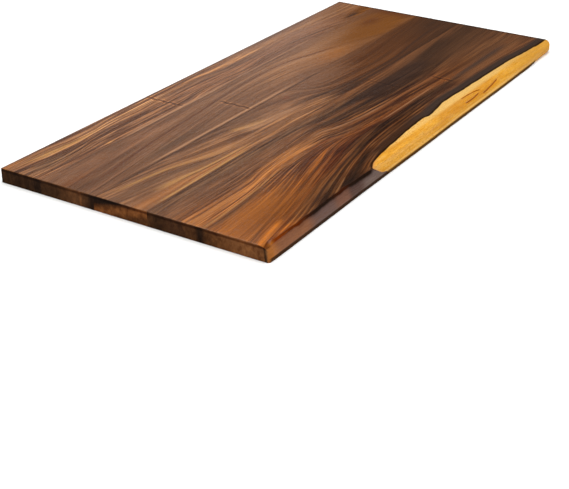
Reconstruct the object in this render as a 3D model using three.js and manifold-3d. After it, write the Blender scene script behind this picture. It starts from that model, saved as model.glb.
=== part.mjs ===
// A walnut table top with one live edge: four solid boards glued edge to edge into one panel.
// Millimetres, +Z up. The origin is on the underside, at the middle of the panel's box.
// +X runs along the grain, +Y points to the straight back edge, and the live edge is at -Y.

import * as THREE from "three";
import { mergeVertices } from "three/addons/utils/BufferGeometryUtils.js";
import Module from "manifold-3d";

const wasm = await Module();
wasm.setup();

// The panel
const length = 1220;
const width = 584;
const thickness = 28.6;
const topEase = 2.5;
const bottomEase = 1.5;
const backCornerEase = 3;
const nearLiveEase = 9;
const farLiveEase = 14;

// The straight boards, from the back edge forwards. The live-edge board takes the rest.
const straightBoards = [
  { name: "back_board", width: 97, colour: 0x7a5238 },
  { name: "arch_board", width: 122, colour: 0x7c4f36 },
  { name: "flame_board", width: 117, colour: 0x865a3c },
];
const liveBoard = { name: "live_edge_board", colour: 0x6a412a };
const satinOil = { roughness: 0.42, metalness: 0 };

// The live edge, as [distance from the near end, value] pairs. The shoulder is where the flat top
// ends and the reach is the outermost line, both measured from the back edge. The lean is how far
// the low vertical strip tucks in under the reach, and the fullness runs from 0, a straight slope
// between shoulder and reach, to 1, a square bullnose.
const liveEdge = {
  shoulder: [[0, 557], [14, 568], [44, 576.5], [107, 576], [175, 574], [246, 572.5], [320, 574],
    [550, 571.5], [750, 565], [860, 559], [1000, 559], [1150, 556], [1220, 552]],
  reach: [[0, 584], [40, 584], [200, 582], [600, 577.5], [1000, 573], [1220, 570.5]],
  lean: [[0, 0.6], [1000, 0.6], [1100, 0.8], [1150, 5], [1190, 6.5], [1220, 7]],
  fullness: [[0, 0.85], [30, 0.5], [90, 0.25], [350, 0.25], [550, 0.35], [750, 0.5], [1000, 0.5],
    [1170, 0.6], [1220, 0.8]],
};
const stripHeight = 10;
const stripEase = 3.5;
const shoulderSteps = 7;
const stripSteps = 4;
const stationCount = 72;
const endCrowding = 0.6;
const ripple = { depth: 0.9, shortWave: 29, longWave: 67, shortShare: 0.4, fadeLength: 90 };

// The board blanks run past the ends, and the shared outline cuts them off.
const overrun = 6;
const nearEnd = -length / 2;
const backEdge = width / 2;

const axisX = new THREE.Vector3(1, 0, 0);
const axisY = new THREE.Vector3(0, 1, 0);
const axisZ = new THREE.Vector3(0, 0, 1);

// A closed outline through corners of [u, v, ease], each corner rounded off over its ease
function easedShape(corners) {
  const shape = new THREE.Shape();
  corners.forEach(([u, v, ease], index) => {
    const corner = new THREE.Vector2(u, v);
    const before = new THREE.Vector2(...corners.at(index - 1));
    const after = new THREE.Vector2(...corners[(index + 1) % corners.length]);
    const start = before.sub(corner).setLength(ease).add(corner);
    const end = after.sub(corner).setLength(ease).add(corner);
    if (index === 0) shape.moveTo(start.x, start.y);
    else shape.lineTo(start.x, start.y);
    if (ease > 0) shape.quadraticCurveTo(u, v, end.x, end.y);
  });
  return shape;
}

// Extrudes a shape drawn on the axes u and v over depth along w
function prism(shape, depth, u, v, w, start) {
  const geometry = new THREE.ExtrudeGeometry(shape, { depth, bevelEnabled: false, curveSegments: 5 });
  geometry.applyMatrix4(new THREE.Matrix4().makeBasis(u, v, w).setPosition(start));
  return geometry;
}

function solidFrom(geometry) {
  const bare = geometry.clone();
  bare.deleteAttribute("normal");
  bare.deleteAttribute("uv");
  const merged = mergeVertices(bare, 1e-5);
  return new wasm.Manifold(new wasm.Mesh({
    numProp: 3,
    vertProperties: new Float32Array(merged.attributes.position.array),
    triVerts: new Uint32Array(merged.index.array),
  }));
}

function geometryFrom(solid) {
  const mesh = solid.getMesh();
  const geometry = new THREE.BufferGeometry();
  geometry.setAttribute("position", new THREE.BufferAttribute(mesh.vertProperties, 3));
  geometry.setIndex(new THREE.BufferAttribute(mesh.triVerts, 1));
  geometry.computeVertexNormals();
  return geometry;
}

// What all boards share: the long outline seen from above, and the eased ends seen from the side
function panelOutline() {
  const farReach = backEdge - liveEdge.reach.at(-1)[1];
  const plan = easedShape([
    [nearEnd, -backEdge, nearLiveEase],
    [-nearEnd, farReach, farLiveEase],
    [-nearEnd, backEdge, backCornerEase],
    [nearEnd, backEdge, backCornerEase],
  ]);
  const side = easedShape([
    [nearEnd, 0, bottomEase],
    [-nearEnd, 0, bottomEase],
    [-nearEnd, thickness, topEase],
    [nearEnd, thickness, topEase],
  ]);
  const fromAbove = prism(plan, thickness, axisX, axisY, axisZ, new THREE.Vector3());
  const fromSide = prism(side, width, axisX, axisZ, axisY.clone().negate(),
    new THREE.Vector3(0, backEdge, 0));
  return solidFrom(fromAbove).intersect(solidFrom(fromSide));
}

// A straight board between two lines across the panel. Only the panel's own edge is eased.
function straightBlank(front, back) {
  const isOutermost = back === backEdge;
  const section = easedShape([
    [front, 0, 0],
    [back, 0, isOutermost ? bottomEase : 0],
    [back, thickness, isOutermost ? topEase : 0],
    [front, thickness, 0],
  ]);
  return prism(section, length + 2 * overrun, axisY, axisZ, axisX,
    new THREE.Vector3(nearEnd - overrun, 0, 0));
}

function liveValue(name, along) {
  const pairs = liveEdge[name];
  const curve = new THREE.CubicInterpolant(pairs.map((pair) => pair[0]), pairs.map((pair) => pair[1]), 1);
  return curve.evaluate(THREE.MathUtils.clamp(along, 0, length))[0];
}

// The growth ripples of the trunk, which only ever hollow the edge and fade out towards the ends
function rippleDepth(along) {
  const shortWave = Math.sin(along / ripple.shortWave);
  const longWave = Math.sin(along / ripple.longWave);
  const wave = THREE.MathUtils.lerp(longWave, shortWave, ripple.shortShare);
  const fade = THREE.MathUtils.smoothstep(Math.min(along, length - along), 0, ripple.fadeLength);
  return ripple.depth * fade * (wave - 1) / 2;
}

// The live-edge board's section at one distance along it, from the glue line's foot round to its own
function liveSection(along, seam) {
  const shoulder = backEdge - liveValue("shoulder", along) - rippleDepth(along);
  const reach = backEdge - liveValue("reach", along) - rippleDepth(along);
  const foot = reach + liveValue("lean", along);
  const fullness = liveValue("fullness", along);
  const rise = thickness - stripHeight;
  const brow = new THREE.Vector2(
    THREE.MathUtils.lerp((shoulder + reach) / 2, reach, fullness),
    stripHeight + rise * THREE.MathUtils.lerp(0.5, 1, fullness),
  );
  const lip = new THREE.Vector2(reach, stripHeight);
  const lipStart = brow.clone().sub(lip).setLength(stripEase).add(lip);
  const lipEnd = new THREE.Vector2(foot, 0).sub(lip).setLength(stripEase).add(lip);
  const wane = new THREE.QuadraticBezierCurve(new THREE.Vector2(shoulder, thickness), brow, lipStart);
  const turn = new THREE.QuadraticBezierCurve(lipStart, lip, lipEnd);
  return [
    new THREE.Vector2(seam, 0),
    new THREE.Vector2(seam, thickness),
    ...wane.getPoints(shoulderSteps),
    ...turn.getPoints(stripSteps).slice(1),
    new THREE.Vector2(foot, 0),
  ];
}

// Joins the sections into one closed skin. Stations stand closer together towards the ends.
function liveBlank(seam) {
  const sections = [];
  const positions = [];
  for (let station = 0; station <= stationCount; station += 1) {
    const even = station / stationCount;
    const crowded = 0.5 - 0.5 * Math.cos(Math.PI * even);
    const spread = THREE.MathUtils.lerp(even, crowded, endCrowding);
    const along = THREE.MathUtils.lerp(-overrun, length + overrun, spread);
    const section = liveSection(along, seam);
    sections.push(section);
    section.forEach((point) => positions.push(nearEnd + along, point.x, point.y));
  }
  const ring = sections[0].length;
  const faces = [];
  for (let station = 0; station < stationCount; station += 1) {
    for (let side = 0; side < ring; side += 1) {
      const here = station * ring + side;
      const beside = station * ring + ((side + 1) % ring);
      faces.push([here, beside, here + ring], [beside, beside + ring, here + ring]);
    }
  }
  const last = stationCount * ring;
  for (const [a, b, c] of THREE.ShapeUtils.triangulateShape(sections[0], [])) faces.push([a, c, b]);
  for (const [a, b, c] of THREE.ShapeUtils.triangulateShape(sections[stationCount], [])) {
    faces.push([last + a, last + b, last + c]);
  }
  const geometry = new THREE.BufferGeometry();
  geometry.setAttribute("position", new THREE.Float32BufferAttribute(positions, 3));
  geometry.setIndex(faces.flat());
  return geometry;
}

const group = new THREE.Group();
const outline = panelOutline();

function addBoard(blank, { name, colour }) {
  const geometry = geometryFrom(solidFrom(blank).intersect(outline));
  const mesh = new THREE.Mesh(geometry, new THREE.MeshStandardMaterial({ color: colour, ...satinOil }));
  mesh.name = name;
  group.add(mesh);
}

let back = backEdge;
for (const board of straightBoards) {
  const front = back - board.width;
  addBoard(straightBlank(front, back), board);
  back = front;
}
addBoard(liveBlank(back), liveBoard);

export default group;
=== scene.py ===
# A live-edge walnut table top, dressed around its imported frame: satin-oiled boards on a pale floor.
# Figure and finish are written in millimetres: along from the near end, across from the back edge,
# up from the underside.
import math

import bmesh
import bpy
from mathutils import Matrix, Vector, noise


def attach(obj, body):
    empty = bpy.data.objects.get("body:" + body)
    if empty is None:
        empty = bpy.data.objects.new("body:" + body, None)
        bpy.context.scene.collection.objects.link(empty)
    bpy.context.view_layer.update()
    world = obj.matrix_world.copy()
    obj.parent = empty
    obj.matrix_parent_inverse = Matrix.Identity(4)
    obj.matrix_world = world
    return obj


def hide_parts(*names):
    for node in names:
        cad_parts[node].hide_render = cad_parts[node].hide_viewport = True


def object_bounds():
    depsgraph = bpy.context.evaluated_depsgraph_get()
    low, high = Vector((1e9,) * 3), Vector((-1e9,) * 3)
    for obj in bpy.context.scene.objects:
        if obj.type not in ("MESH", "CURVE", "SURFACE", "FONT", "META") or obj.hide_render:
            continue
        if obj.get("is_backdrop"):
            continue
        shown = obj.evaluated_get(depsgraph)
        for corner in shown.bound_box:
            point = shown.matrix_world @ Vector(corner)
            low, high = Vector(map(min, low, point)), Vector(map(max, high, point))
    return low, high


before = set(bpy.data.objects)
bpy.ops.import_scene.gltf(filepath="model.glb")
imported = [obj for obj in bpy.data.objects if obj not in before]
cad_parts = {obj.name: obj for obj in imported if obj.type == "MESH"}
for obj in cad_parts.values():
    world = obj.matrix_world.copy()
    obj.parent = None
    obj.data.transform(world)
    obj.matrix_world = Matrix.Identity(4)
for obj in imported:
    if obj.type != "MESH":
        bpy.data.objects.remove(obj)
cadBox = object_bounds()
print("frame loaded:", sorted(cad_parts))

# The panel's sizes, read from the frame: its origin is in the middle, on the underside
mm = 0.001
panel = {
    "length": round(2 * cadBox[1][0] / mm, 1),
    "width": round(2 * cadBox[1][1] / mm, 1),
    "thickness": round(cadBox[1][2] / mm, 1),
}

# Camera

camera = {
    "place": (-2.1259, -1.2857, 0.9824),
    "down": 27.582,
    "heading": 32.483,
    "lens": 80.961,
    "sensor": 36,
}


def addCamera(look):
    data = bpy.data.cameras.new("camera")
    data.lens = look["lens"]
    data.sensor_width = look["sensor"]
    data.sensor_fit = "HORIZONTAL"
    item = bpy.data.objects.new("camera", data)
    item.location = look["place"]
    item.rotation_euler = (
        math.radians(90 - look["down"]), 0, math.radians(look["heading"] - 90))
    bpy.context.scene.collection.objects.link(item)
    bpy.context.scene.camera = item


addCamera(camera)
print("camera set")


# Node sums

class Wire:
    # A node socket that can stand in sums with numbers and other wires
    def __init__(self, recipe, socket):
        self.recipe = recipe
        self.socket = socket

    def math(self, operation, *others):
        return self.recipe.math(operation, self, *others)

    def __add__(self, other):
        return self.math("ADD", other)

    __radd__ = __add__

    def __mul__(self, other):
        return self.math("MULTIPLY", other)

    __rmul__ = __mul__

    def __sub__(self, other):
        return self.math("SUBTRACT", other)

    def __rsub__(self, other):
        return self.recipe.math("SUBTRACT", other, self)

    def __truediv__(self, other):
        return self.math("DIVIDE", other)

    # 0 below low, 1 above high, and a smooth rise between
    def ease(self, low, high):
        return self.recipe.node("ShaderNodeMapRange", {"interpolation_type": "SMOOTHSTEP"}, {
            "Value": self, "From Min": low, "From Max": high})

    # 1 at the middle, falling off to nothing over about twice the reach
    def bell(self, middle, reach):
        offset = (self - middle) / reach
        return (offset * offset * -1).math("EXPONENT")

    # 1 between start and end, with soft ends
    def span(self, start, end, soft):
        return self.ease(start - soft, start + soft) * (1 - self.ease(end - soft, end + soft))

    def clip(self):
        return self.recipe.node("ShaderNodeClamp", {}, {"Value": self})

    # Turns noise, 0 to 1, into a factor around 1
    def aroundOne(self):
        return 0.6 + 0.8 * self

    # A curve through given (input, output) points
    def curve(self, points):
        lows = [min(values) for values in zip(*points)]
        spans = [(max(values) - min(values)) or 1 for values in zip(*points)]
        steps = [[(v - low) / span for v, low, span in zip(point, lows, spans)] for point in points]
        inside = (self - lows[0]) / spans[0]
        drawn = self.recipe.node("ShaderNodeFloatCurve", {"points": steps}, {"Value": inside})
        return drawn * spans[1] + lows[1]


class Recipe:
    # One material and the nodes in it
    def __init__(self, name):
        self.material = bpy.data.materials.new(name)
        self.material.use_nodes = True
        self.tree = self.material.node_tree
        self.tree.nodes.clear()

    # Adds a node: its settings go in first, then the values or links of its sockets, each known by
    # its name or its place in the list
    def node(self, kind, settings, sockets, output=0):
        item = self.tree.nodes.new(kind)
        for name, value in settings.items():
            if name == "points":
                self.setCurve(item.mapping, value)
            else:
                setattr(item, name, value)
        for name, value in sockets.items():
            if isinstance(value, Wire):
                self.tree.links.new(value.socket, item.inputs[name])
            else:
                item.inputs[name].default_value = value
        return Wire(self, item.outputs[output]) if item.outputs else None

    def surface(self, colour, roughness, specular, **more):
        return self.node("ShaderNodeBsdfPrincipled", {}, {
            "Base Color": colour, "Roughness": roughness, "Specular IOR Level": specular, **more})

    def show(self, surface):
        self.node("ShaderNodeOutputMaterial", {}, {"Surface": surface})

    def setCurve(self, mapping, points):
        line = mapping.curves[0]
        while len(line.points) > 2:
            line.points.remove(line.points[1])
        line.points[0].location = points[0]
        line.points[-1].location = points[-1]
        for point in points[1:-1]:
            line.points.new(*point)
        mapping.update()

    def math(self, operation, *values):
        return self.node("ShaderNodeMath", {"operation": operation}, dict(enumerate(values)))

    def vector(self, x, y, z):
        return self.node("ShaderNodeCombineXYZ", {}, {"X": x, "Y": y, "Z": z})

    def noise(self, vector, detail=2, roughness=0.5):
        return self.node("ShaderNodeTexNoise", {"noise_dimensions": "3D"}, {
            "Vector": vector, "Scale": 1, "Detail": detail, "Roughness": roughness})

    # Colours: 0 keeps the first, 1 takes the second
    def blend(self, share, first, second, kind="MIX"):
        settings = {"data_type": "RGBA", "blend_type": kind, "clamp_result": False}
        return self.node("ShaderNodeMix", settings, {0: share, 6: first, 7: second}, 2)


# A colour as it looks on a screen, 0 to 255, turned into the linear one that shaders take
def tone(red, green, blue):
    def linear(value):
        value /= 255
        return value / 12.92 if value <= 0.04045 else ((value + 0.055) / 1.055) ** 2.4
    return (linear(red), linear(green), linear(blue), 1)


# Floor and light

studio = {
    "floor": {"size": 14, "tone": (246, 246, 245), "roughness": 0.9, "specular": 0.1},
    "world": 0.06,
    "boxes": [
        # name, place, aim, width, height, brightness
        ("overheadBox", (0, -0.1, 2.9), (0, -0.1, 0), 4.4, 4.4, 3.0),
        ("backLeftBox", (1.75, 2.45, 0.5), (0, 0.1, 0), 2.6, 0.6, 1.35),
        ("frontBox", (0.8, -2.7, 1.2), (0, -0.2, 0), 3.0, 1.6, 1.5),
        ("frontRightBox", (2.4, -2.4, 0.5), (0, -0.29, 0), 1.6, 0.9, 1),
        ("nearBox", (-2.7, 0.3, 1.3), (-0.8, -0.1, 0), 2.4, 1.4, 2.4),
    ],
}


def addFloor(look):
    mesh = bmesh.new()
    bmesh.ops.create_grid(mesh, x_segments=1, y_segments=1, size=look["size"] / 2)
    data = bpy.data.meshes.new("floor")
    mesh.to_mesh(data)
    mesh.free()
    floor = bpy.data.objects.new("floor", data)
    bpy.context.scene.collection.objects.link(floor)
    paint = Recipe("floorPaint")
    paint.show(paint.surface(tone(*look["tone"]), look["roughness"], look["specular"]))
    data.materials.append(paint.material)
    floor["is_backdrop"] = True


def addLight(look):
    world = bpy.data.worlds.new("studio")
    world.use_nodes = True
    world.node_tree.nodes["Background"].inputs["Strength"].default_value = look["world"]
    world.node_tree.nodes["Background"].inputs["Color"].default_value = (1, 1, 1, 1)
    bpy.context.scene.world = world

    for name, place, aim, width, height, brightness in look["boxes"]:
        lamp = bpy.data.lights.new(name, "AREA")
        lamp.shape = "RECTANGLE"
        lamp.size = width
        lamp.size_y = height
        lamp.energy = brightness * math.pi * width * height
        item = bpy.data.objects.new(name, lamp)
        item.location = place
        item.rotation_euler = (Vector(place) - Vector(aim)).to_track_quat("Z", "Y").to_euler()
        bpy.context.scene.collection.objects.link(item)


addFloor(studio["floor"])
addLight(studio)
bpy.context.scene.view_settings.view_transform = "Standard"
print("studio lit")

# Wood

# Colours as they look on a screen
screenTones = {
    "black": (28, 16, 9), "espresso": (46, 27, 13), "chocolate": (50, 30, 19), "cocoa": (62, 37, 19),
    "darkBrown": (66, 38, 19), "duskRed": (82, 45, 16), "umber": (104, 58, 24),
    "redBrown": (84, 42, 16), "bronze": (86, 54, 31), "greyWalnut": (94, 64, 43),
    "walnut": (108, 72, 48), "brown": (100, 62, 35), "midBrown": (114, 72, 41), "rust": (124, 62, 20),
    "russet": (118, 66, 24), "toffee": (112, 65, 18), "rosy": (123, 82, 55), "pinkTan": (134, 91, 58),
    "copper": (144, 83, 28), "caramel": (150, 94, 46), "flame": (184, 104, 28),
    "emberGlow": (104, 42, 3), "ember": (78, 30, 2), "darkEmber": (50, 20, 6), "margin": (50, 40, 35),
    "edgeBlack": (30, 16, 5), "crack": (124, 56, 8), "sapEdge": (190, 128, 72), "sienna": (124, 74, 38),
    "amber": (190, 124, 32), "farSap": (188, 136, 54), "barkTan": (124, 78, 50), "mauve": (94, 71, 64),
    "mauveRed": (106, 70, 54), "mauveDark": (76, 54, 47), "slate": (98, 80, 73),
    "orangeTan": (150, 92, 44), "tan": (150, 102, 62), "paleRose": (160, 116, 82),
    "golden": (168, 120, 66), "paleSap": (216, 174, 100), "sap": (212, 152, 50),
    "deepSap": (196, 134, 36), "bark": (46, 28, 15),
}
tones = {name: tone(*values) for name, values in screenTones.items()}

# What a dark line and a light line do to the ground under them, in linear colour
figureTints = {
    "dark": (0.42, 0.3, 0.17, 1),
    "light": (1.62, 1.64, 1.5, 1),
}


# What the figure of all boards shares. A band of noise is given as its width and its length.
figure = {
    "sway": (24, 75),
    "drift": (17, 120),
    "swayReach": 1.3,
    "ringBend": (70, 520),
    "ringBendTurns": 3,
    "ringRise": (0.3, 0.9),
    "ringPresence": (8, 240),
    "ringShown": (0.34, 0.52),
    "layerDetail": 1.5,
    "layerDark": (0.5, 0.61),
    "layerLight": (0.39, 0.5),
    "breakup": (3, 90),
    "clouds": (14, 160),
    # painted shade: the far end's top arris darkened
    "farArris": (1208, 1214),
    "farArrisPaintedShade": 0.7,
    # each pattern reads its own part of the noise
    "shifts": {"fibres": 4, "presence": 5, "rings": 6, "breakup": 7, "clouds": 8, "sapwood": 9, "layers": 10},
}

# A mark across the grain: its wave, its line and the pale lines beside it
markShape = {"wave": 26, "height": 1.5, "reach": 3, "haloGap": 6, "soft": 3}


class Wood(Recipe):
    # Solid walnut: along, across and up are places in the panel in millimetres, and level is the
    # place across after following the growth rings up to the top face
    def __init__(self, name, seed, lean):
        super().__init__(name)
        self.seed = seed
        metres = self.node("ShaderNodeTexCoord", {}, {}, "Object")
        place = self.node("ShaderNodeMapping", {"vector_type": "POINT"}, {
            "Vector": metres,
            "Scale": (1 / mm, -1 / mm, 1 / mm),
            "Location": (panel["length"] / 2, panel["width"] / 2, 0)})
        self.along, self.across, self.up = [
            self.node("ShaderNodeSeparateXYZ", {}, {"Vector": place}, axis) for axis in "XYZ"]
        self.depth = panel["thickness"] - self.up
        self.level = self.across - self.depth * lean
        self.places = {"along": self.along, "across": self.across, "up": self.up, "depth": self.depth}

    # A mask that fades in between two stops on each axis, or in and out again between four. The
    # masks that are named are multiplied in as they are.
    def area(self, share, masks, axes):
        mask = share
        for name in masks:
            mask = self.places[name] * mask
        for name, stops in axes.items():
            mask = self.places[name].ease(*stops[:2]) * mask
            if len(stops) == 4:
                mask = self.places[name].ease(stops[3], stops[2]) * mask
        return mask

    # Lays a named tone over a colour where the mask says so
    def paint(self, mask, colour, toneName):
        return self.blend(mask, colour, tones[toneName])

    # Darkens or lightens a colour where the mask says so
    def tint(self, mask, colour, kind):
        return self.blend(mask, colour, figureTints[kind], "MULTIPLY")

    # Grain that runs between listed lines, each given as a value and its points (along, across)
    def flow(self, lines):
        values = [value for value, points in lines]
        places = [self.along.curve(points) for value, points in lines]
        swayWidth, swayLength = figure["sway"]
        driftWidth, driftLength = figure["drift"]
        sway = (self.along / swayLength + self.level / swayWidth + self.seed).math("SINE")
        drift = (self.level / driftWidth - self.along / driftLength).math("SINE")
        level = self.level + sway * drift * figure["swayReach"]
        grain = (level - places[0]).math("MINIMUM", 0) + (level - places[-1]).math("MAXIMUM", 0) + values[0]
        for index in range(len(lines) - 1):
            gap = places[index + 1] - places[index]
            share = ((level - places[index]) / gap).clip()
            grain = grain + share * (values[index + 1] - values[index])
        return grain

    # Noise over a face: along it, down it, and which part of the noise it reads
    def spots(self, down, length, height, part, detail=2, roughness=0.5):
        return self.noise(self.vector(self.along / length, down / height, part), detail, roughness)

    # Noise drawn out along the grain: about 0 to 1, one stripe every width
    def stripes(self, grain, width, length, pattern, detail=2, roughness=0.5, layer=0):
        shift = self.seed + figure["shifts"][pattern] + layer
        return self.noise(self.vector(self.along / length, grain / width, shift), detail, roughness)

    # Dark ring lines: each darkens slowly and ends sharply
    def rings(self, grain, width):
        bend = self.stripes(grain, *figure["ringBend"], "rings", 1)
        turn = (grain / width + bend * figure["ringBendTurns"]).math("FRACT")
        start, end = figure["ringRise"]
        return turn.ease(start, end) * (1 - turn.ease(end, 1))

    # Lays streaks of other tones over a colour, each along its own line of the grain. Rows of one
    # tone are added up first, which keeps the shader small.
    def streaks(self, colour, grain, breakup, rows):
        masks = {}
        for name, toneName, middle, reach, start, end, soft, strength in rows:
            mask = grain.bell(middle, reach) * self.along.span(start, end, soft) * strength
            masks[toneName] = masks[toneName] + mask if toneName in masks else mask
        for toneName, mask in masks.items():
            colour = self.paint((mask * breakup).clip(), colour, toneName)
        return colour

    # Lays broad clouds of other tones over a colour
    def patches(self, colour, breakup, rows):
        for name, toneName, along, alongReach, across, acrossReach, strength in rows:
            mask = self.along.bell(along, alongReach) * self.level.bell(across, acrossReach) * strength
            colour = self.paint((mask * breakup).clip(), colour, toneName)
        return colour

    # A thin wavy mark across the grain, with a pale line on each side
    def crossMark(self, colour, at, start, end, strength):
        turn = (self.across - start) * (2 * math.pi / markShape["wave"])
        place = self.along - turn.math("SINE") * markShape["height"]
        inside = self.across.span(start, end, markShape["soft"]) * strength
        spots = 0.5 + 0.5 * (turn * 2).math("SINE")
        reach = markShape["reach"]
        beside = place.bell(at - markShape["haloGap"], reach) + place.bell(at + markShape["haloGap"], reach)
        halo = beside * inside * (1 - 0.5 * spots)
        line = place.bell(at, reach) * inside * (0.8 + 0.7 * spots)
        colour = self.tint(halo.clip(), colour, "light")
        return self.tint(line.clip(), colour, "dark")


# Ring lines, then bands, lines and pinstripes along the grain
def addFigure(wood, colour, grain, look):
    calmStart, calmEnd, calmShare = look["calm"]
    calm = 1 - wood.along.ease(calmStart, calmEnd) * calmShare
    for name, along, alongReach, across, acrossReach, change in look["zones"]:
        zone = wood.along.bell(along, alongReach) * wood.level.bell(across, acrossReach)
        calm = calm * (1 + zone * change)
    ringWidth, ringStrength = look["rings"]
    presence = wood.stripes(grain, *figure["ringPresence"], "presence", 1).ease(*figure["ringShown"])
    rings = wood.rings(grain, ringWidth) * presence * calm * ringStrength
    colour = wood.tint(rings.clip(), colour, "dark")
    for index, (width, length, dark, light) in enumerate(look["layers"]):
        layer = wood.stripes(grain, width, length, "layers", figure["layerDetail"], layer=index)
        darker = (layer.ease(*figure["layerDark"]) * calm * dark).clip()
        lighter = ((1 - layer.ease(*figure["layerLight"])) * calm * light).clip()
        colour = wood.tint(darker, colour, "dark")
        colour = wood.tint(lighter, colour, "light")
    return colour


# The whole colouring of one board, from its broad ground to its thin straight lines
def addColour(wood, grain, look):
    breakup = wood.stripes(grain, *figure["breakup"], "breakup").aroundOne()
    clouds = wood.stripes(grain, *figure["clouds"], "clouds").aroundOne()
    colour = wood.streaks(tones[look["body"]], grain, clouds, look["washes"])
    colour = wood.patches(colour, clouds, look["patches"])
    colour = addFigure(wood, colour, grain, look)
    colour = wood.streaks(colour, grain, breakup, look["streaks"])
    colour = wood.streaks(colour, wood.level, breakup, look["seams"])
    for mark in look["crossMarks"]:
        colour = wood.crossMark(colour, *mark)
    # painted shade along the far end's top arris
    farArris = wood.along.ease(*figure["farArris"]) * figure["farArrisPaintedShade"]
    return wood.tint(farArris, colour, "dark")


# The satin oil, and the dull kind where it has sunk in
oil = {
    "fibres": {"width": 0.8, "length": 26, "height": 0.3, "roughness": 0.06},
    "pores": {"width": 0.7, "length": 8, "shown": (0.58, 0.7), "height": -0.8, "roughness": 0.1},
    "poresDark": 0.35,
    "bump": {"Strength": 0.3, "Distance": 0.0002},
    "satin": {"roughness": 0.25, "specular": 0.35},
    "dull": {"roughness": 0.7, "specular": 0.01},
}

# The end grain drinks more oil and is duller; it is darker partly by its own colour and partly by painted
# shade, as the end stands in shade, with bands of its own and a line of painted shade under the arris
endGrain = {
    "reach": (0.3, 1.8),
    # width, height
    "fibres": (1.8, 8),
    "blots": (10, 12),
    # tint, pattern, the values that it fades in between, strength
    "tints": [
        ("dark", "fibres", (0.5, 0.65), 0.45),
        ("light", "blots", (0.5, 0.36), 0.5),
        ("dark", "blots", (0.52, 0.66), 0.5),
    ],
    # painted shade: a dark band just under the top arris
    "arris": (1.5, 5.5, 1.2),
    "arrisPaintedShade": 0.9,
    "oil": {"roughness": 0.7, "specular": 0.03},
}


# The colour of a board's ends: its tone, dark partly by its own colour and partly as painted shade, and its
# bands, with fine fibres and blots, and a band of painted shade under the top arris
def addEndColour(wood, colour, look):
    patterns = {}
    for name in ("fibres", "blots"):
        width, height = endGrain[name]
        place = wood.vector(wood.along, wood.across / width, wood.up / height + wood.seed)
        patterns[name] = wood.noise(place, 2, 0.6)
    colour = wood.paint(look["endShare"], colour, look["endBody"])
    place = wood.across - wood.depth * look["endLean"]
    for name, toneName, across, reach, strength in look["endBands"]:
        mask = place.bell(across, reach) * strength * patterns["fibres"].aroundOne()
        colour = wood.paint(mask.clip(), colour, toneName)
    for kind, name, shown, strength in endGrain["tints"]:
        colour = wood.tint(patterns[name].ease(*shown) * strength, colour, kind)
    # painted shade: darkens a band just under the top arris
    return wood.tint(wood.depth.span(*endGrain["arris"]) * endGrain["arrisPaintedShade"], colour, "dark")


# Closes a board's recipe: pores, oil that is duller where the mask says so, and the ends
def addOil(wood, colour, look, dullness=0.0):
    fibre, pore, satin = oil["fibres"], oil["pores"], oil["satin"]
    fibres = wood.stripes(wood.across, fibre["width"], fibre["length"], "fibres", 1)
    place = wood.vector(
        wood.along / pore["length"], wood.across / pore["width"], wood.up / pore["width"] + wood.seed)
    pores = wood.noise(place, 1, 0.5).ease(*pore["shown"])
    colour = wood.paint(pores * oil["poresDark"], colour, "chocolate")
    height = fibres * fibre["height"] + pores * pore["height"]
    bump = wood.node("ShaderNodeBump", {}, {"Height": height, **oil["bump"]})
    roughness = satin["roughness"] + fibres * fibre["roughness"] + pores * pore["roughness"]
    face = wood.surface(colour, roughness, satin["specular"], Normal=bump)
    dull = wood.surface(colour, **oil["dull"], Normal=bump)
    face = wood.node("ShaderNodeMixShader", {}, {0: dullness, 1: face, 2: dull})
    atEnd = 1 - (wood.along.math("MINIMUM", panel["length"] - wood.along)).ease(*endGrain["reach"])
    end = wood.surface(addEndColour(wood, colour, look), **endGrain["oil"])
    wood.show(wood.node("ShaderNodeMixShader", {}, {0: atEnd, 1: face, 2: end}))


def dress(piece, material):
    piece.data.materials.clear()
    piece.data.materials.append(material)


# Back board: pinstripes with a golden streak near the near end, pinkish grey beyond the middle

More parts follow.
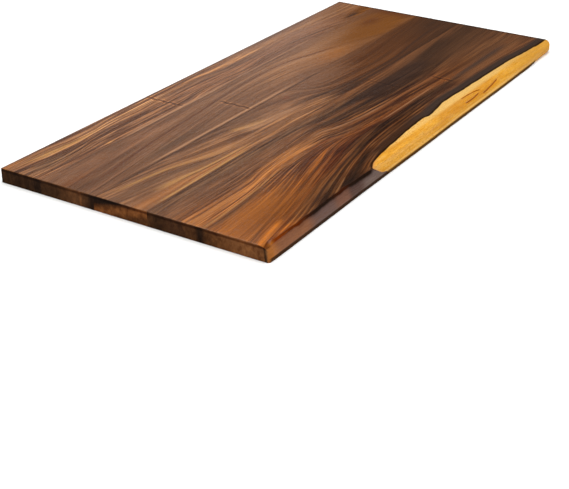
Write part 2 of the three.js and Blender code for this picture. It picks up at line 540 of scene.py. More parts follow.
backBoard = {
    "seed": 3.4,
    "lean": 0.1,
    "body": "rosy",
    "rings": (5.5, 0.45),
    "calm": (640, 980, 0.5),
    "layers": [
        # width, length, dark strength, light strength
        (9, 420, 0.1, 0.1),
        (4.4, 320, 0.2, 0.2),
        (2.9, 300, 0.9, 0.9),
        (2, 70, 0.6, 0.6),
    ],
    "grainLines": [
        (0, [(0, 0), (1220, 0)]),
        (20, [(0, 11), (60, 12), (140, 20), (200, 26), (250, 23), (300, 19), (430, 17), (500, 15),
            (560, 11), (700, 16), (900, 19), (1220, 22)]),
        (40, [(0, 30), (60, 37), (120, 45), (160, 45), (220, 40), (300, 37), (380, 40), (450, 38),
            (540, 33), (620, 40), (700, 47), (800, 44), (900, 38), (1000, 42), (1100, 52), (1220, 60)]),
        (62, [(0, 67), (100, 70), (200, 63), (300, 60), (430, 60), (600, 64), (700, 62), (800, 60),
            (900, 52), (960, 55), (1010, 63), (1100, 75), (1150, 85), (1220, 97)]),
        (86, [(0, 88), (200, 90), (380, 88), (440, 88), (500, 80), (560, 76), (620, 78), (680, 83),
            (720, 80), (800, 75), (880, 72), (950, 77), (1000, 84), (1050, 92), (1220, 118)]),
    ],
    # stronger or weaker figure: name, along, reach, across, reach, change
    "zones": [
        ("near pinstripes", 180, 260, 64, 26, 0.6),
        ("middle pinstripes", 370, 130, 25, 22, 0.6),
        ("far", 1000, 220, 30, 30, -0.3),
    ],
    "washes": [
        # name, tone, middle, reach, start, end, soft, strength
        ("light strip", "pinkTan", 27, 13, -80, 1300, 60, 1),
        ("light strip middle", "paleRose", 27, 14, 200, 420, 60, 1.4),
        ("grey middle", "greyWalnut", 66, 20, -80, 460, 90, 0.3),
        ("rosy foot", "rosy", 78, 18, 520, 1000, 90, 0.6),
        ("dark edge", "greyWalnut", 5, 5, 500, 1050, 60, 0.5),
    ],
    "streaks": [
        ("near corner", "orangeTan", 16, 9, -40, 40, 20, 0.7),
        ("golden streak", "golden", 31, 4.5, 60, 240, 30, 0.8),
        ("golden tail", "tan", 29, 6, 200, 470, 60, 0.5),
        ("upper dark line", "redBrown", 19.5, 1.6, 60, 560, 40, 0.8),
        ("edge line", "redBrown", 8, 2, 20, 620, 60, 0.7),
        ("streak foot", "redBrown", 40, 2, 60, 560, 60, 0.7),
        ("dark pinstripe", "darkBrown", 62, 1.5, 160, 430, 40, 0.8),
        ("dark pinstripe two", "darkBrown", 68, 1.3, 40, 260, 40, 0.6),
        ("dark pinstripe three", "darkBrown", 80, 1.4, 120, 400, 40, 0.6),
        ("grey band", "greyWalnut", 42, 6, 440, 780, 60, 0.5),
        ("sweep", "darkBrown", 86, 3, 400, 1080, 60, 0.7),
    ],
    "seams": [
        ("foot light", "paleRose", 96, 3, 250, 900, 40, 0.6),
        # painted shade: a dark line along the back arris
        ("back edge dark", "darkBrown", 4, 2.5, 60, 1220, 40, 0.5),
    ],
    "patches": [
        # name, tone, along, reach, across, reach, strength
        ("far gold", "toffee", 1190, 75, 90, 26, 1.2),
        ("far dusk", "darkBrown", 1138, 34, 84, 7, 1),
        ("knot wedge", "golden", 200, 9, 93, 4, 0.7),
        ("near shade", "greyWalnut", 70, 80, 62, 16, 1.1),
    ],
    "crossMarks": [(426, 8, 95, 1.2)],
    "endBody": "black",
    "endShare": 0.92,
    "endLean": 0.1,
    "endBands": [
        # name, tone, across, reach, strength
        ("middle", "espresso", 45, 28, 0.7),
        ("foot", "black", 88, 9, 0.8),
    ],
}

# Arch board: plain red-brown with one long dark arch, golden brown at the far end

archBoard = {
    "seed": 11.4,
    "lean": 0.25,
    "body": "walnut",
    "rings": (14, 0.25),
    "calm": (700, 950, 0.5),
    "layers": [
        (10, 420, 0.15, 0.12),
        (4.4, 320, 0.22, 0.18),
        (2.7, 200, 0.28, 0.24),
        (1.5, 110, 0.25, 0.25),
    ],
    "grainLines": [
        (97, [(0, 97), (1220, 97)]),
        (110, [(0, 135), (100, 128), (200, 120), (300, 113), (400, 108), (500, 106), (650, 105), (800, 107),
            (900, 112), (1000, 124), (1100, 145), (1220, 180)]),
        (130, [(0, 187), (60, 182), (130, 175), (200, 166), (320, 153), (400, 147), (450, 142), (500, 136),
            (560, 131), (620, 128), (690, 128), (740, 132), (790, 140), (830, 150), (870, 160), (930, 176),
            (1000, 198), (1100, 235), (1220, 275)]),
        (165, [(0, 215), (100, 205), (200, 195), (300, 184), (400, 173), (480, 166), (560, 163), (620, 163),
            (700, 168), (760, 178), (820, 195), (900, 225), (1000, 260), (1220, 330)]),
        (215, [(0, 245), (200, 228), (400, 218), (600, 214), (700, 217), (800, 240), (1000, 300),
            (1220, 370)]),
    ],
    "zones": [
        ("far gold", 1020, 160, 165, 60, -0.85),
        ("near red", 120, 160, 125, 20, -0.5),
    ],
    "washes": [],
    "streaks": [
        ("arch", "redBrown", 130, 1.9, 60, 900, 60, 0.8),
        ("arch shade", "darkBrown", 127, 4, 60, 700, 80, 0.2),
        ("under the arch", "paleRose", 138, 3, 400, 900, 80, 0.35),
        ("over the arch", "paleRose", 121, 3, 250, 900, 80, 0.2),
        ("near light", "rosy", 151, 4, 20, 300, 60, 0.5),
        ("near dark", "darkBrown", 158, 2.2, 0, 160, 40, 0.8),
        ("near dark two", "darkBrown", 137, 2, 0, 120, 30, 0.5),
        ("inner line", "darkBrown", 165, 2.5, 480, 640, 30, 0.5),
    ],
    "seams": [
        ("seam one light", "paleRose", 99.5, 2.6, 240, 560, 40, 0.9),
        ("seam one dark", "darkBrown", 103, 2, 60, 600, 60, 0.7),
        ("seam two light", "paleRose", 218, 3, 170, 640, 70, 0.95),
    ],
    "patches": [
        ("near grey", "bronze", 25, 45, 178, 14, 0.8),
        ("near red", "rosy", 200, 130, 128, 18, 0.9),
        ("near grey two", "greyWalnut", 185, 40, 118, 9, 0.8),
        ("near brown", "russet", 30, 50, 150, 10, 0.5),
        ("middle shade", "greyWalnut", 270, 110, 196, 12, 1.1),
        ("rosy middle", "pinkTan", 770, 180, 158, 38, 1),
        ("tan diagonal", "caramel", 880, 75, 192, 26, 0.8),
        ("far gold", "toffee", 1110, 180, 170, 56, 1.5),
        ("upper tan", "pinkTan", 940, 110, 128, 18, 0.8),
        ("far dark", "redBrown", 1120, 40, 146, 16, 0.6),
        ("far red", "redBrown", 1210, 26, 160, 60, 0.7),
    ],
    "crossMarks": [(488, 146, 219, 1.1)],
    "endBody": "espresso",
    "endShare": 0.92,
    "endLean": 0.1,
    "endBands": [
        ("light", "bronze", 172, 26, 0.9),
        ("light line", "brown", 187, 2.5, 0.9),
        ("foot", "black", 213, 9, 0.8),
    ],
}

# Flame board: tan flames that fall away to the right into dark nested arches

flameBoard = {
    "seed": 19.4,
    "lean": 2.2,
    "body": "walnut",
    "rings": (6.5, 0.35),
    "calm": (620, 950, 0.5),
    "layers": [
        (10, 380, 0.15, 0.15),
        (4.4, 260, 0.25, 0.25),
        (2.9, 200, 0.8, 0.75),
        (2, 70, 0.5, 0.5),
    ],
    "grainLines": [
        (60, [(0, 100), (500, 120), (620, 190), (660, 225), (700, 245), (800, 260), (900, 262), (1000, 255),
            (1220, 235)]),
        (100, [(0, 150), (300, 180), (500, 205), (600, 225), (640, 252), (665, 273), (700, 287), (750, 293),
            (830, 298), (900, 297), (1000, 288), (1100, 276), (1220, 262)]),
        (130, [(0, 215), (100, 222), (200, 232), (300, 246), (370, 258), (410, 270), (450, 279), (500, 284),
            (560, 292), (620, 302), (680, 312), (740, 319), (800, 322), (900, 322), (1000, 316),
            (1100, 308), (1220, 298)]),
        (150, [(0, 232), (40, 238), (100, 246), (150, 256), (200, 272), (250, 288), (300, 298), (330, 303),
            (400, 308), (500, 312), (560, 317), (640, 328), (700, 334), (800, 338), (1000, 334),
            (1220, 322)]),
        (180, [(0, 285), (100, 297), (150, 304), (200, 312), (250, 317), (300, 320), (400, 323), (500, 328),
            (600, 338), (700, 348), (1220, 350)]),
        (200, [(0, 331), (300, 330), (400, 333), (500, 338), (600, 350), (1220, 380)]),
    ],
    "zones": [
        ("arcs", 690, 160, 250, 36, -0.7),
        ("upper middle", 420, 220, 238, 22, -0.5),
        ("far", 1050, 200, 270, 60, -0.5),
        ("near foot", 50, 90, 300, 34, -0.6),
    ],
    "washes": [
        ("tan foot", "pinkTan", 190, 18, -80, 610, 80, 1),
        ("tan middle", "pinkTan", 150, 16, 200, 640, 80, 0.8),
        ("grey top", "greyWalnut", 100, 26, 80, 480, 80, 0.7),
        ("dusk foot", "cocoa", 168, 42, 660, 1400, 80, 1.3),
        ("dusk middle", "duskRed", 112, 30, 720, 1400, 90, 1.1),
        ("dusk top", "duskRed", 60, 42, 810, 1400, 90, 1),
    ],
    "streaks": [
        ("first flame", "golden", 151, 2.4, 50, 300, 40, 0.75),
        ("first flame wash", "tan", 148, 6, 150, 340, 50, 0.5),
        ("second flame", "golden", 130, 3, 372, 450, 14, 0.65),
        ("second flame tail", "paleRose", 134, 8, 390, 540, 30, 0.5),
        ("between", "greyWalnut", 166, 6, -40, 260, 50, 0.6),
        ("third flame", "golden", 181, 3.8, 90, 330, 30, 0.75),
        ("third flame edge", "darkBrown", 184.5, 1.6, 130, 420, 30, 0.7),
        ("seam flame", "orangeTan", 192, 6, -40, 320, 60, 0.6),
        ("low line", "darkBrown", 181, 2, 400, 470, 30, 0.7),
        ("low line two", "darkBrown", 166, 2, 470, 660, 30, 0.8),
        ("dark arc one", "darkBrown", 100, 3.5, 630, 960, 40, 0.8),
        ("dark arc two", "chocolate", 128, 4, 590, 960, 50, 0.8),
        ("dark foot", "chocolate", 146, 10, 660, 1000, 60, 0.6),
        ("light arc", "midBrown", 112, 4, 640, 1000, 60, 0.4),
        ("far line", "chocolate", 125, 4, 940, 1160, 50, 0.7),
    ],
    "seams": [
        ("seam two light", "paleRose", 218, 3, 170, 640, 70, 0.95),
        ("gold blur", "toffee", 214, 9, 880, 1300, 60, 0.7),
        ("seam two dark", "darkBrown", 225.5, 2, 60, 760, 60, 1),
        ("seam three light", "golden", 330.5, 2.4, 50, 300, 30, 1),
    ],
    "patches": [
        ("knot", "chocolate", 441, 7, 273, 3, 0.9),
        ("red spot", "rust", 578, 9, 249, 5, 0.6),
        ("far dusk", "cocoa", 1240, 200, 285, 60, 0.9),
        ("near shade", "walnut", 50, 70, 302, 22, 0.9),
    ],
    "crossMarks": [(761, 322, 345, 0.3)],
    "endBody": "duskRed",
    "endShare": 0.85,
    "endLean": -4.9,
    "endBands": [
        ("orange", "sienna", 350, 40, 0.5),
        ("dark corner", "black", 236, 60, 1.8),
        ("red foot", "cocoa", 430, 34, 0.7),
    ],
}

# Live-edge board: golden near end, a fan of streaks from the near corner, then chocolate brown,
# with sapwood along the front

liveBoard = {
    "seed": 29.4,
    "lean": 0.4,
    "body": "brown",
    "rings": (6.2, 0.5),
    "calm": (640, 1050, 0.4),
    "layers": [
        (9, 420, 0.08, 0.08),
        (4.4, 320, 0.2, 0.2),
        (2.9, 280, 0.9, 0.95),
        (2, 70, 0.7, 0.7),
    ],
    "grainLines": [
        (345, [(0, 345), (430, 352), (600, 362), (720, 367), (850, 368), (950, 362), (1050, 351),
            (1150, 341), (1220, 335)]),
        (372, [(0, 372), (350, 374), (430, 371), (500, 378), (600, 387), (700, 397), (780, 402), (880, 403),
            (1000, 396), (1100, 388), (1220, 380)]),
        (417, [(0, 415), (100, 419), (180, 419), (215, 414), (255, 407), (330, 404), (440, 404), (490, 416),
            (560, 429), (640, 437), (720, 441), (860, 445), (1000, 442), (1220, 438)]),
        (440, [(0, 440), (100, 441), (140, 439.5), (165, 437.5), (210, 431), (260, 425), (300, 422),
            (380, 424), (440, 429), (465, 439), (500, 446), (600, 453), (720, 461), (900, 470),
            (1220, 478)]),
        (459, [(0, 460), (60, 459), (120, 456), (165, 452), (210, 446), (240, 442), (300, 437), (380, 437),
            (440, 440), (480, 450), (530, 456), (600, 461), (700, 466), (900, 475), (1220, 483)]),
        (480, [(0, 503), (60, 500), (120, 496), (170, 490), (210, 482.5), (240, 475), (277, 464.5),
            (322, 453), (380, 447), (440, 448), (480, 456), (530, 461), (600, 465), (700, 469), (900, 478),
            (1220, 486)]),
        (500, [(0, 546), (50, 536), (75, 530.5), (130, 519.5), (207, 504), (265, 491), (315, 479),
            (352, 470), (380, 463), (415, 457), (450, 456), (500, 463), (560, 467), (620, 469),
            (700, 471.5), (900, 481), (1220, 489)]),
        (515, [(0, 558), (50, 546), (115, 536), (150, 529), (200, 517), (240, 507), (290, 494.5),
            (350, 481), (400, 471), (450, 466.5), (500, 469), (560, 471), (620, 472), (700, 474),
            (900, 484), (1220, 492)]),
        (530, [(0, 567), (50, 557), (115, 545), (152, 537.5), (190, 529.5), (222, 522), (265, 511),
            (315, 499), (365, 488.5), (415, 480), (450, 477), (560, 475), (620, 475), (700, 477),
            (900, 487), (1220, 495)]),
        (550, [(0, 585), (60, 577), (120, 567.5), (185, 554), (222, 544.5), (265, 532.5), (315, 521),
            (365, 511), (415, 502), (496, 490), (560, 484), (640, 482), (700, 482), (800, 487), (1000, 496),
            (1220, 505)]),
        (570, [(0, 615), (100, 599), (185, 580), (250, 563), (315, 544), (350, 534), (400, 523),
            (430, 517.5), (466, 512), (530, 507), (594, 504), (700, 502), (800, 504), (900, 508),
            (1000, 512), (1220, 530)]),
        (590, [(0, 650), (200, 610), (300, 575), (350, 560), (400, 546), (450, 537), (500, 531), (600, 526),
            (700, 522), (800, 524), (900, 528), (1000, 530), (1220, 547)]),
    ],
    "zones": [
        ("near front", 40, 170, 515, 55, -0.75),
        ("near top", 150, 240, 368, 24, -0.5),
        ("copper field", 90, 110, 480, 22, -0.6),
        ("fan start", 170, 70, 515, 36, -0.4),
        ("rise", 330, 120, 415, 22, -0.5),
        ("swirl", 500, 170, 432, 36, 1),
        ("far swirl", 860, 120, 430, 30, 0.6),
        ("far top", 950, 220, 362, 34, -0.8),
        ("front lines", 590, 180, 482, 26, 0.7),
        ("margin lines", 400, 90, 512, 22, 0.2),
        ("near lines", 310, 110, 428, 26, 0.1),
        ("far", 1060, 180, 430, 90, -0.5),
    ],
    "washes": [
        ("seam strip", "greyWalnut", 348, 14, -80, 640, 90, 1),
        ("upper middle", "walnut", 377, 14, -80, 440, 90, 0.6),
        ("caramel", "caramel", 434, 17, -80, 260, 100, 1.2),
        ("warm rise", "caramel", 430, 22, 200, 385, 50, 0.8),
        ("copper", "copper", 480, 22, -80, 210, 90, 1.2),
        ("russet", "russet", 506, 32, 0, 430, 60, 1),
        ("fan brown", "redBrown", 516, 14, 120, 430, 60, 0.3),
        ("fan dusk", "redBrown", 530, 20, 290, 640, 60, 1.1),
        ("dusk", "cocoa", 376, 26, 470, 1400, 90, 1.5),
        ("dusk deep", "chocolate", 360, 18, 600, 920, 60, 1.5),
        ("far dusk brown", "bronze", 396, 26, 980, 1400, 60, 0.5),
        ("warm umber", "duskRed", 436, 22, 530, 1000, 90, 0.8),
        ("front umber", "umber", 492, 26, 430, 960, 70, 1),
        ("far bronze", "bronze", 446, 26, 900, 1400, 90, 0.9),
        ("far strip", "bronze", 545, 14, 960, 1400, 60, 1),
        ("front cocoa", "cocoa", 552, 21, 420, 860, 60, 1.25),
        ("front shade", "cocoa", 577, 10, 490, 740, 50, 0.4),
    ],
    "streaks": [
        ("upper lines", "sienna", 371, 4, 380, 660, 40, 0.5),
        ("golden field", "caramel", 424, 10, -40, 150, 60, 0.9),
        ("golden line", "golden", 450, 1.6, 0, 240, 40, 0.6),
        ("dark line", "redBrown", 418, 1.8, 10, 300, 30, 0.9),
        ("dark line two", "redBrown", 440.5, 1.8, 10, 260, 30, 0.9),
        ("dark line three", "darkBrown", 459, 3, 10, 190, 30, 0.8),
        ("pale line", "tan", 428, 1.4, 250, 430, 40, 0.5),
        ("pale line two", "tan", 449, 1.4, 240, 360, 30, 0.4),
        ("fan dark line", "darkBrown", 480, 1.8, 190, 340, 30, 0.6),
        ("fan dark near", "darkBrown", 500, 1.8, 10, 140, 30, 0.5),
        ("fan dark zero", "darkBrown", 497, 3, 270, 430, 30, 0.3),
        ("fan dark one", "darkBrown", 507, 4, 205, 430, 30, 0.6),
        ("fan light one", "orangeTan", 520, 2, 180, 370, 40, 0.5),
        ("fan dark two", "darkBrown", 541, 3, 170, 520, 50, 0.7),
        ("fan light two", "rust", 532, 1.8, 60, 300, 60, 0.4),
        ("fan dark three", "chocolate", 552, 4, 165, 430, 50, 0.9),
        ("corner orange", "flame", 525, 7, -80, 88, 22, 0.9),
        ("corner line one", "ember", 512, 1.6, 5, 100, 30, 0.6),
        ("corner line two", "ember", 536, 1.8, 0, 110, 30, 0.8),
        ("fan deep", "black", 561, 4, 175, 470, 40, 0.8),
        ("fan black", "black", 580, 7, 250, 430, 40, 0.9),
        ("thin light", "sienna", 569.5, 1.4, 340, 600, 50, 0.5),
        ("short light one", "tan", 559, 1.2, 235, 310, 15, 0.6),
        ("short light two", "tan", 571, 1.2, 225, 300, 15, 0.6),
        ("thin light two", "sienna", 548, 1.3, 340, 520, 30, 0.5),
        ("swirl", "chocolate", 441, 3, 438, 492, 12, 1),
        ("swirl orange", "rust", 452, 5, 370, 450, 30, 0.5),
        ("light rise", "paleRose", 417, 2, 430, 640, 40, 0.5),
        ("orange rise", "sienna", 420, 3.5, 560, 900, 40, 0.8),
        ("rise shade", "umber", 425, 2.4, 530, 660, 30, 0.9),
        ("dark rise", "espresso", 350, 9, 930, 1100, 50, 0.8),
        ("light line", "midBrown", 540, 2.5, 600, 860, 40, 0.4),
    ],
    "seams": [
        ("seam three dark", "darkBrown", 337.5, 2, 60, 320, 40, 1),
        ("seam three line", "darkBrown", 336.5, 1.2, -20, 900, 60, 0.5),
        ("front light", "paleRose", 474.5, 1.8, 590, 790, 30, 0.5),
        ("front dark", "redBrown", 479.5, 2.2, 570, 690, 30, 0.8),
        ("far dark streak", "margin", 490, 7, 880, 1120, 40, 0.7),
        ("far light streak", "midBrown", 509, 7, 870, 1180, 40, 0.7),
    ],
    "patches": [
        ("fan shade", "black", 270, 90, 566, 13, 0.9),
        ("golden corner", "orangeTan", 60, 60, 416, 9, 0.6),
        ("near light", "orangeTan", 40, 80, 425, 30, 0.6),
        ("corner glow", "flame", 66, 36, 567, 6, 0.7),
        ("russet patch", "russet", 250, 16, 568, 6, 0.8),
    ],
    "crossMarks": [(759, 336, 420, 0.6), (852, 447, 498, 1.2)],
    "endBody": "cocoa",
    "endShare": 0.9,
    "endLean": 0.15,
    "endBands": [
        ("head", "espresso", 357, 14, 1.1),
        ("reddish", "chocolate", 398, 30, 0.6),
        ("dark stripe", "black", 444, 9, 1.1),
        ("warm", "midBrown", 532, 46, 0.9),
        # painted shade: the crease's dark line where it meets the end face
        ("dark line", "black", 574, 2.5, 1.4),
        ("corner strip", "tan", 585, 7, 1.3),
    ],
}


# The live-edge board's mesh, cut finer than the CAD's so that the wane can carry its own relief

liveMesh = {
    "stations": 420,
    "levels": [4, 7, 9, 9.7, 10.4, 11.2, 12.2, 13.5, 15, 16.5, 18, 19.5, 21, 22.5, 24, 25.2, 26.4,
               27.4, 28.2],
    "ridges": [540, 546, 551, 554, 556, 558, 560, 562, 564, 566, 568, 570, 573],
    "flatAngle": 0.4,
    "sharpAngle": 28,
    # cracks and creases: name, points (along, across plus depth), half width, depth
    "creases": [
        ("upper crack", [(768, 556.3), (796, 557.7), (818, 560.3), (842, 566)], 1.2, 1.4),
        ("lower crack", [(764, 574.9), (787, 575.5), (806, 574.5), (827, 571.9)], 1.6, 1.5),
        ("long crease", [(846, 580), (861, 578.8), (877, 576.7), (894, 574.7), (924, 569.6)], 2.2, 1.1),
    ],
    "pits": {"depth": 0.5, "size": 13, "squash": 1.4, "part": 3.1},
    "flow": {"depth": 0.35, "length": 60, "height": 3, "part": 8.2},
    # where the relief starts, as a start and the length over which it grows
    "fromEnds": (3, 12),
    "fromFoot": (10.5, 2),
    "fromAcross": 540,
    "turnedOut": 0.35,
}


# How deep the cracks go at one place, in millimetres
def crackDepth(look, along, skin):
    total = 0
    for name, points, halfWidth, deepest in look["creases"]:
        nearest = 1e9
        for (startAlong, startSkin), (endAlong, endSkin) in zip(points, points[1:]):
            run = Vector((endAlong - startAlong, endSkin - startSkin))
            here = Vector((along - startAlong, skin - startSkin))
            share = min(max(here.dot(run) / run.length_squared, 0), 1)
            nearest = min(nearest, (here - run * share).length)
        total += deepest * math.exp(-(nearest / halfWidth) ** 2)
    return total


# How far the wane is hollowed at one place, in millimetres. It is never raised.
def hollow(look, along, up):
    pits = look["pits"]
    flow = look["flow"]
    lump = noise.noise(Vector((along / pits["size"], up / pits["size"] * pits["squash"], pits["part"])))
    drawn = noise.noise(Vector((along / flow["length"], up / flow["height"], flow["part"])))
    return pits["depth"] * (0.5 + 0.5 * lump) + flow["depth"] * (0.5 + 0.5 * drawn)


# 0 up to the start, then growing to 1 over the length
def grow(value, start, length):
    return min(max((value - start) / length, 0), 1)


def makeLiveMesh(node, look):
    mesh = bmesh.new()
    mesh.from_mesh(node.data)
    bmesh.ops.remove_doubles(mesh, verts=mesh.verts, dist=1e-6)
    bmesh.ops.dissolve_limit(
        mesh, angle_limit=math.radians(look["flatAngle"]), verts=mesh.verts, edges=mesh.edges)
    halfLength = panel["length"] / 2
    cuts = [((0, 0, up * mm), (0, 0, 1)) for up in look["levels"]]
    cuts += [((0, (panel["width"] / 2 - across) * mm, 0), (0, 1, 0)) for across in look["ridges"]]
    for index in range(1, look["stations"]):
        along = panel["length"] * index / look["stations"] - halfLength
        cuts.append(((along * mm, 0, 0), (1, 0, 0)))
    for place, normal in cuts:
        everything = mesh.verts[:] + mesh.edges[:] + mesh.faces[:]
        bmesh.ops.bisect_plane(mesh, geom=everything, dist=1e-7, plane_co=place, plane_no=normal)
    bmesh.ops.triangulate(mesh, faces=[face for face in mesh.faces if len(face.verts) > 4])
    mesh.normal_update()
    return mesh


def addLiveMesh(node, look):
    mesh = makeLiveMesh(node, look)
    moves = []
    for vert in mesh.verts:
        along = vert.co.x / mm + panel["length"] / 2
        across = panel["width"] / 2 - vert.co.y / mm
        up = vert.co.z / mm
        toEnd = min(along, panel["length"] - along)
        fade = grow(toEnd, *look["fromEnds"]) * grow(up, *look["fromFoot"])
        if fade > 0 and across > look["fromAcross"]:
            depth = hollow(look, along, up) * grow(-vert.normal.y, 0, look["turnedOut"])
            depth += crackDepth(look, along, across + panel["thickness"] - up)
            moves.append((vert, vert.normal * (-depth * fade * mm)))
    for vert, move in moves:
        vert.co += move
    mesh.normal_update()
    for edge in mesh.edges:
        edge.smooth = edge.calc_face_angle(0) < math.radians(look["sharpAngle"])
    for face in mesh.faces:
        face.smooth = True
    data = bpy.data.meshes.new("liveEdgeBoard")
    mesh.to_mesh(data)
    mesh.free()
    board = bpy.data.objects.new("liveEdgeBoard", data)
    bpy.context.scene.collection.objects.link(board)
    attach(board, "root")
    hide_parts("live_edge_board")
    print("live edge cut into", len(data.polygons), "faces")
    return board


def addPlainBoard(node, name, look):
    wood = Wood(name, look["seed"], look["lean"])
    colour = addColour(wood, wood.flow(look["grainLines"]), look)
    addOil(wood, colour, look)
    dress(node, wood.material)


# The wane, where the tree's own outside turns down. Its greyish tones are partly its own colour and partly
# painted sheen, and its lower part is lightened as painted sheen.

wane = {
    # the depth at which it starts, and how much higher that is beyond the near end
    "start": 4.5,
    "rise": 4,
    "riseAlong": (8, 50),
    "soft": 2,
    "across": (548, 560),
    # the grain's level there and its change with depth
    "level": 640,
    "spread": 2.2,
    # length, height, part of the noise, then its least value and its range
    "spots": (22, 5, 2.3),
    "least": 0.55,
    "range": 0.8,
    # painted sheen: the lower wane made lighter
    "lowPaintedSheen": (0.25, ("wane",), {"depth": (8, 16)}),
    # the violet, reddish, dark and slate tones are partly the wane's own colour and partly painted sheen
    # name, tone, start, end, soft
    "tones": [
        ("near", "barkTan", 10, 150, 30),
        ("violet", "mauve", 140, 232, 22),
        ("reddish", "mauveRed", 220, 276, 14),
        ("dark", "mauveDark", 272, 322, 14),
        ("tip", "slate", 318, 400, 14),
        ("corner", "orangeTan", -30, 26, 14),
    ],
}


# The rings meet the wane almost square on, so the lines there run along the edge
def turnGrain(wood, grain):
    start = wane["start"] - wood.along.ease(*wane["riseAlong"]) * wane["rise"]
    onWane = (wood.depth - start).ease(0, wane["soft"]) * wood.across.ease(*wane["across"])
    wood.places["wane"] = onWane
    return grain * (1 - onWane) + (wane["level"] + wood.depth * wane["spread"]) * onWane


def addWane(wood, colour):
    uneven = wane["least"] + wane["range"] * wood.spots(wood.depth, *wane["spots"])
    # greyish tones: partly the wane's own colour, partly painted sheen
    for name, toneName, start, end, soft in wane["tones"]:
        mask = wood.places["wane"] * wood.along.span(start, end, soft) * uneven
        colour = wood.paint(mask.clip(), colour, toneName)
    # painted sheen: lightens the lower wane
    return wood.tint(wood.area(*wane["lowPaintedSheen"]), colour, "light")


# The crease, a dark line of painted shade where the flat top breaks into the wane, with orange tones along
# its near end

crease = {
    "line": [(0, 579), (14, 578), (44, 576.5), (107, 576), (175, 574), (246, 572.5), (320, 574), (400, 573)],
    "lean": 0.4,
    # how it wanders: length, place in the noise, reach
    "wander": (30, (1.5, 7.7), 6),
    "offset": -1,
    "reach": 3.4,
    "along": (16, 356, 12),
    "strength": 1.5,
    # name, tone, start, end, soft
    "tones": [
        ("glow", "emberGlow", 20, 60, 12),
        ("spark", "copper", 4, 24, 7),
        ("ember", "ember", 56, 125, 20),
        ("dark ember", "darkEmber", 115, 370, 20),
        ("black near", "black", 140, 225, 20),
        ("black far", "black", 272, 370, 12),
    ],
}


def addCrease(wood, colour):
    length, part, reach = crease["wander"]
    wander = (wood.noise(wood.vector(wood.along / length, *part)) - 0.5) * reach
    place = wood.across + wood.depth * crease["lean"] + wander - wood.along.curve(crease["line"])
    # painted shade along the break between top and wane
    line = place.bell(crease["offset"], crease["reach"]) * wood.along.span(*crease["along"])
    wood.places["crease"] = (line * crease["strength"]).clip()
    for name, toneName, start, end, soft in crease["tones"]:
        colour = wood.paint(wood.places["crease"] * wood.along.span(start, end, soft), colour, toneName)
    return colour


# The sapwood, and the dark heartwood beside it. The skin is across plus depth: the way over the top
# and down the wane. Areas are a share, masks and axes, as Wood.area takes them.

sapwood = {
    "line": [(300, 640), (346, 596), (353, 586), (358, 578), (363, 572), (371, 567), (382, 562), (398, 558.5),
             (427, 554), (507, 546), (561, 542), (610, 539), (630, 539), (650, 543), (684, 540), (735, 534),
             (820, 537), (950, 541), (1048, 545), (1100, 551), (1160, 555), (1220, 557)],
    "lineLean": 1.9,
    # length, height, reach
    "ragged": (26, 18, 4),
    "lowEdge": (12, (), {"up": (14, 9), "along": (440, 395)}),
    "area": (1, (), {"inSap": (-1, 1), "along": (330, 350)}),
    # noise: width and length, then length, height, part, detail and roughness
    "stripes": (9, 110),
    "mottle": (22, 7, 2.2, 3, 0.6),
    "flecks": (8, 3, 4.1, 2, 0.6),
    # The lip is a pale line of painted highlight along the sapwood's rounded lower edge
    # middle, reach
    "lip": (11.3, 1.4),
    "tip": (0, 4),
    "crackEnds": 5,
    # name, tone, share, masks, axes
    "tones": [
        ("streaks", "deepSap", 1, (), {"stripes": (0.42, 0.62)}),
        ("pale spots", "paleSap", 0.3, (), {"mottle": (0.5, 0.36)}),
        ("pocket", "amber", 0.6, ("mottled",), {"along": (610, 670, 895, 955), "skin": (549, 556, 578, 584)}),
        ("pale top", "paleSap", 0.85, (), {"skin": (560, 548), "along": (420, 510)}),
        # painted highlight along the lip
        ("lip", "paleSap", 0.8, ("lip",), {"along": (375, 415, 1100, 1140)}),
        ("flecks", "amber", 0.8, (), {"flecks": (0.52, 0.64), "along": (700, 620)}),
        ("cracks", "crack", 0.9, ("cracks",), {}),
        ("far", "farSap", 0.6, (), {"along": (900, 1150)}),
        ("tip halo", "sapEdge", 0.8, ("tip",), {"along": (420, 380)}),
    ],
}

margin = {
    "band": (0.95, (), {"inSap": (-28, -16), "along": (370, 450)}),
    "turnsGrey": (540, 680),
    "edge": (1, (), {"inSap": (-8, -3), "along": (350, 370), "depth": (8, 4)}),
    "edgeShare": 0.85,
}

# The low strip under the lip: dark partly as inner bark and partly as painted shade, where the foot stands in
# shadow by the floor
bark = {
    "area": (1, (), {"up": (9, 6.5), "across": (560, 566), "along": (-1, 9, 1125, 1135)}),
    "share": 0.9,
}


# How far inside the sapwood a place lies. The sapwood's line moves in and back as the edge turns down.
def sapReach(wood):
    length, height, reach = sapwood["ragged"]
    line = (wood.along - sapwood["lineLean"] * wood.depth).curve(sapwood["line"])
    place = wood.vector(wood.along / length, wood.across / length, wood.up / height)
    ragged = (wood.noise(place) - 0.5) * reach
    return wood.across - line + ragged - wood.area(*sapwood["lowEdge"])


# A dark band of heartwood beside the sapwood, black against it
def addMargin(wood, colour):
    wood.places["margin"] = wood.area(*margin["band"])
    bandTone = wood.paint(wood.along.ease(*margin["turnsGrey"]), tones["chocolate"], "margin")
    colour = wood.blend(wood.places["margin"], colour, bandTone)
    wood.places["marginEdge"] = wood.area(*margin["edge"])
    return wood.paint(wood.places["marginEdge"] * margin["edgeShare"], colour, "edgeBlack")


def crackMask(wood):
    cracked = 0
    for name, points, halfWidth, deepest in liveMesh["creases"]:
        line = (wood.places["skin"] - wood.along.curve(points)).bell(0, halfWidth)
        inside = wood.along.span(points[0][0], points[-1][0], sapwood["crackEnds"])
        cracked = line * inside * deepest + cracked
    return cracked.clip()


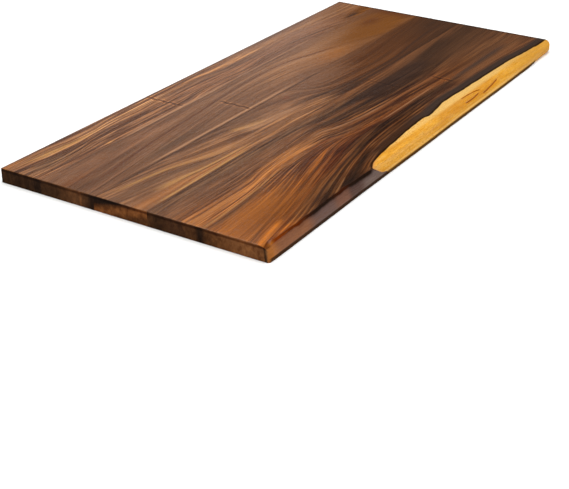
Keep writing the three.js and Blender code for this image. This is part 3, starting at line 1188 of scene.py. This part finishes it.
def addSapwood(wood, colour):
    places = wood.places
    places["stripes"] = wood.stripes(places["skin"], *sapwood["stripes"], "sapwood", 3, 0.55)
    places["mottle"] = wood.spots(places["skin"], *sapwood["mottle"])
    places["mottled"] = 0.5 + places["mottle"]
    places["flecks"] = wood.spots(places["skin"], *sapwood["flecks"])
    # painted highlight: a band along the lip
    places["lip"] = wood.up.bell(*sapwood["lip"])
    places["cracks"] = crackMask(wood)
    places["tip"] = places["inSap"].bell(*sapwood["tip"])
    sap = tones["sap"]
    for name, toneName, share, masks, axes in sapwood["tones"]:
        sap = wood.paint(wood.area(share, masks, axes), sap, toneName)
    return wood.blend(wood.area(*sapwood["area"]), colour, sap)


# Where the oil has sunk in and left the edge dull: the strongest of these counts

sunkOil = [
    # name, share, masks, axes
    ("wane", 0.8, ("wane",), {"inSap": (1, -1)}),
    ("front", 0.7, (), {"along": (-30, 150, 590, 770), "across": (430, 540), "inSap": (1, -1)}),
    ("margin", 0.85, ("margin",), {"inSap": (1, -1)}),
    ("margin edge", 1, ("marginEdge",), {"inSap": (1, -1)}),
    ("bark", 1, ("bark",), {}),
    ("crease", 1, ("crease",), {}),
    ("near corner", 1, (), {"along": (26, 12), "across": (556, 570)}),
    ("low sapwood", 0.85, (), {"depth": (2, 9), "across": (560, 566), "along": (340, 360)}),
    ("near sapwood", 0.425, (), {"inSap": (-1, 1), "along": (700, 560)}),
    ("cracks", 1, ("cracks",), {"inSap": (-1, 1)}),
]


def addLiveBoard(node, name, look):
    wood = Wood(name, look["seed"], look["lean"])
    grain = turnGrain(wood, wood.flow(look["grainLines"]))
    colour = addWane(wood, addColour(wood, grain, look))
    colour = addCrease(wood, colour)
    wood.places["inSap"] = sapReach(wood)
    wood.places["skin"] = wood.across + wood.depth
    colour = addMargin(wood, colour)
    colour = addSapwood(wood, colour)
    # a low strip under the lip, dark partly as inner bark and partly as painted shade
    wood.places["bark"] = wood.area(*bark["area"])
    colour = wood.paint(wood.places["bark"] * bark["share"], colour, "bark")
    dullness = 0
    for label, share, masks, axes in sunkOil:
        dullness = wood.area(share, masks, axes).math("MAXIMUM", dullness)
    addOil(wood, colour, look, dullness)
    dress(node, wood.material)


addPlainBoard(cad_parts["back_board"], "backWalnut", backBoard)
addPlainBoard(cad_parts["arch_board"], "archWalnut", archBoard)
addPlainBoard(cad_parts["flame_board"], "flameWalnut", flameBoard)
addLiveBoard(addLiveMesh(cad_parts["live_edge_board"], liveMesh), "liveEdgeWalnut", liveBoard)
print("boards dressed")

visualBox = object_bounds()
boxes = {"cad": cadBox, "visual": visualBox}
{name: [list(corner) for corner in box] for name, box in boxes.items()}
